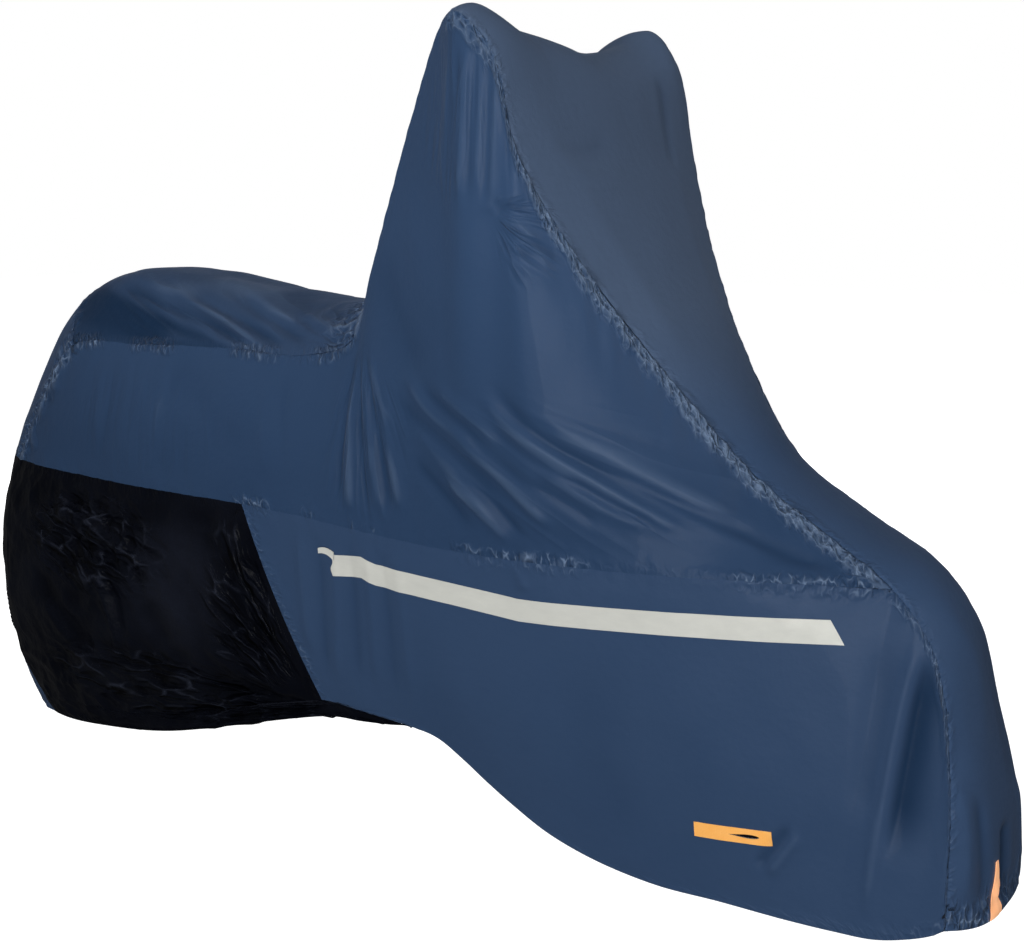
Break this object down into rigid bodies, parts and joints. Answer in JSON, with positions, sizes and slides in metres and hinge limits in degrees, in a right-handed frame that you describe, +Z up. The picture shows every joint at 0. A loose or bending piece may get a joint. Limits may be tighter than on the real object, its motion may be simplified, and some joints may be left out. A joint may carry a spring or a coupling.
{
  "type": "scooter cover",
  "caption": "Fitted weatherproof cloth cover for a parked scooter, a hollow hood with a tall handlebar peak, dark heat panels, reflective tape and lock slits.",
  "frame": {"origin": "underside of the cloth over the middle of the handlebar, where the cover is carried", "axes": "+X towards the nose, +Y to the left side, +Z up"},
  "size_m": [1.9863, 0.5814, 1.2681],
  "materials": {
    "blue_cloth": "coated nylon, soft sheen",
    "heat_cloth": "heat-proof coated cloth, glossy and crinkled",
    "silver_tape": "reflective tape, satin",
    "orange_cloth": "bright woven webbing"
  },
  "bodies": {
    "root": {"front_panel": "blue_cloth", "saddle_panel": "blue_cloth", "tail_panel": "blue_cloth", "tail_gusset": "blue_cloth", "front_tab": "orange_cloth", "upper_side_right": "blue_cloth", "upper_side_left": "blue_cloth", "skirt_right": "blue_cloth", "skirt_left": "blue_cloth", "heat_panel_right": "heat_cloth", "heat_panel_left": "heat_cloth", "reflective_tape_right": "silver_tape", "reflective_tape_left": "silver_tape", "lock_patch_right": "orange_cloth", "lock_patch_left": "orange_cloth"}
  },
  "joints": []
}
